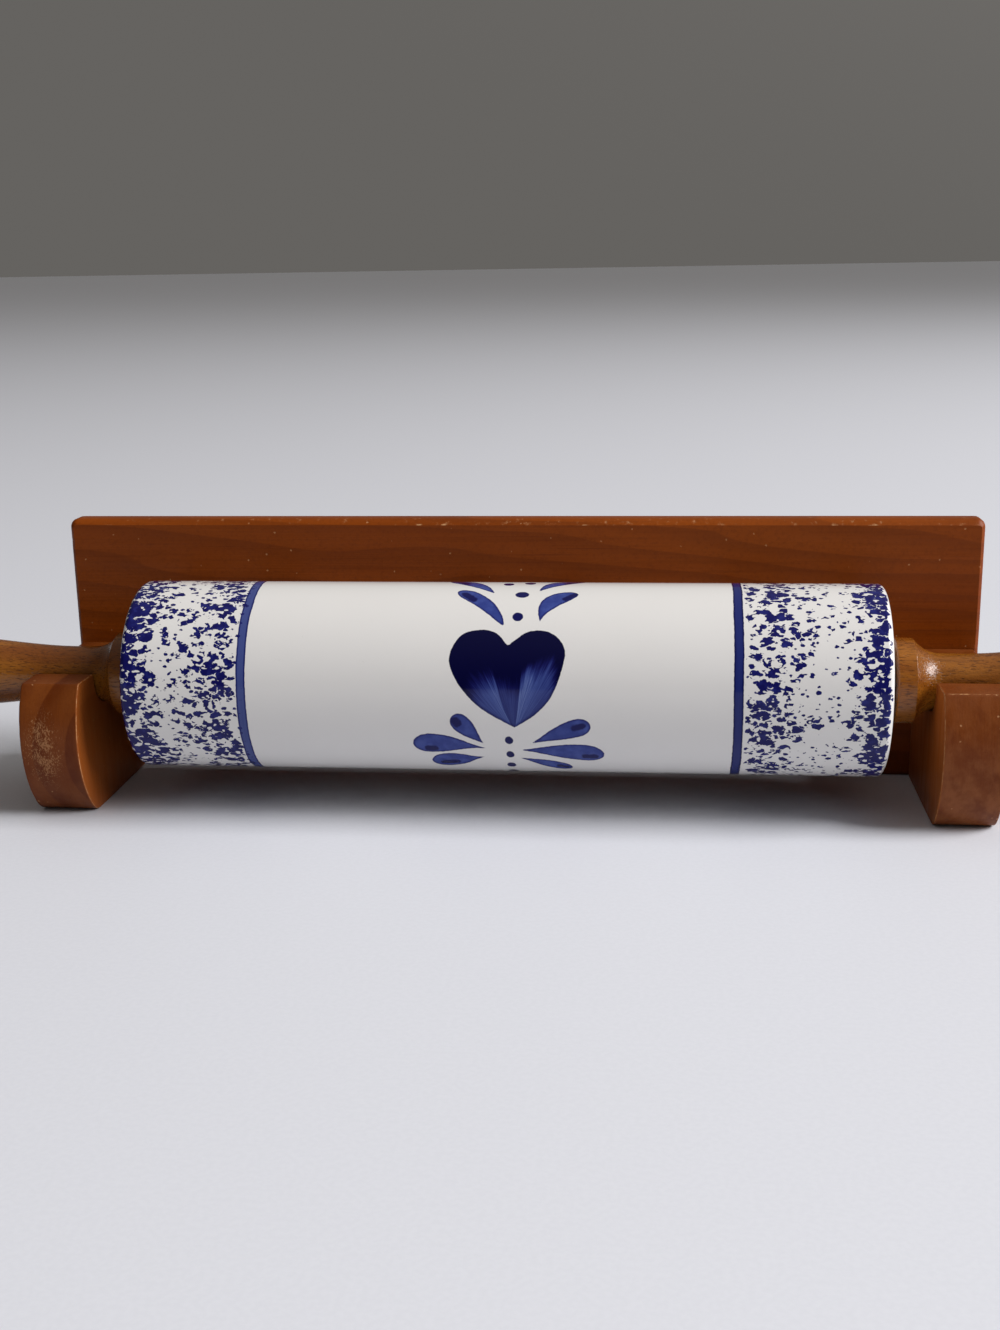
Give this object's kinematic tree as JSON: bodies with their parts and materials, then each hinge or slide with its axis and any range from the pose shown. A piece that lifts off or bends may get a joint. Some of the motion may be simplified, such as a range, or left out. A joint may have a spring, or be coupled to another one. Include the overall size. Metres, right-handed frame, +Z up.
{
  "type": "rolling pin with holder",
  "caption": "Ceramic rolling pin with a painted heart and sponged ends, free to turn between turned wooden handles, lying in the open saddles of a wooden wall holder.",
  "frame": {"origin": "on the table, under the middle of the whole part's bounding box", "axes": "+X along the pin to the right as seen from the front, +Y to the back towards the wall, +Z up"},
  "size_m": [0.435, 0.08, 0.093],
  "materials": {
    "holder_wood": "reddish-brown stain under satin varnish",
    "handle_wood": "golden-brown gloss lacquer",
    "glaze": "gloss white glaze with blue under-glaze painting",
    "steel": "zinc-plated",
    "brassed_steel": "thin brass plating",
    "nylon": "natural"
  },
  "bodies": {
    "holder": {"back_board": "holder_wood", "left_bracket": "holder_wood", "right_bracket": "holder_wood", "left_lower_screw": "steel", "left_upper_screw": "steel", "right_lower_screw": "steel", "right_upper_screw": "steel", "left_hanger": "brassed_steel", "right_hanger": "brassed_steel", "left_hanger_inner_pin": "brassed_steel", "left_hanger_outer_pin": "brassed_steel", "right_hanger_inner_pin": "brassed_steel", "right_hanger_outer_pin": "brassed_steel"},
    "spindle": {"tie_rod": "steel", "left_washer": "steel", "right_washer": "steel", "left_handle": "handle_wood", "right_handle": "handle_wood"},
    "roller": {"barrel": "glaze", "left_bush": "nylon", "right_bush": "nylon"}
  },
  "joints": [
    {"name": "pin_lift", "type": "slide", "parent": "holder", "child": "spindle", "axis": [0, 0, 1], "range_m": [0, 0.15]},
    {"name": "barrel_spin", "type": "hinge", "parent": "spindle", "child": "roller", "pos_m": [0, -0.00805, 0.0449], "axis": [1, 0, 0], "continuous": true}
  ]
}
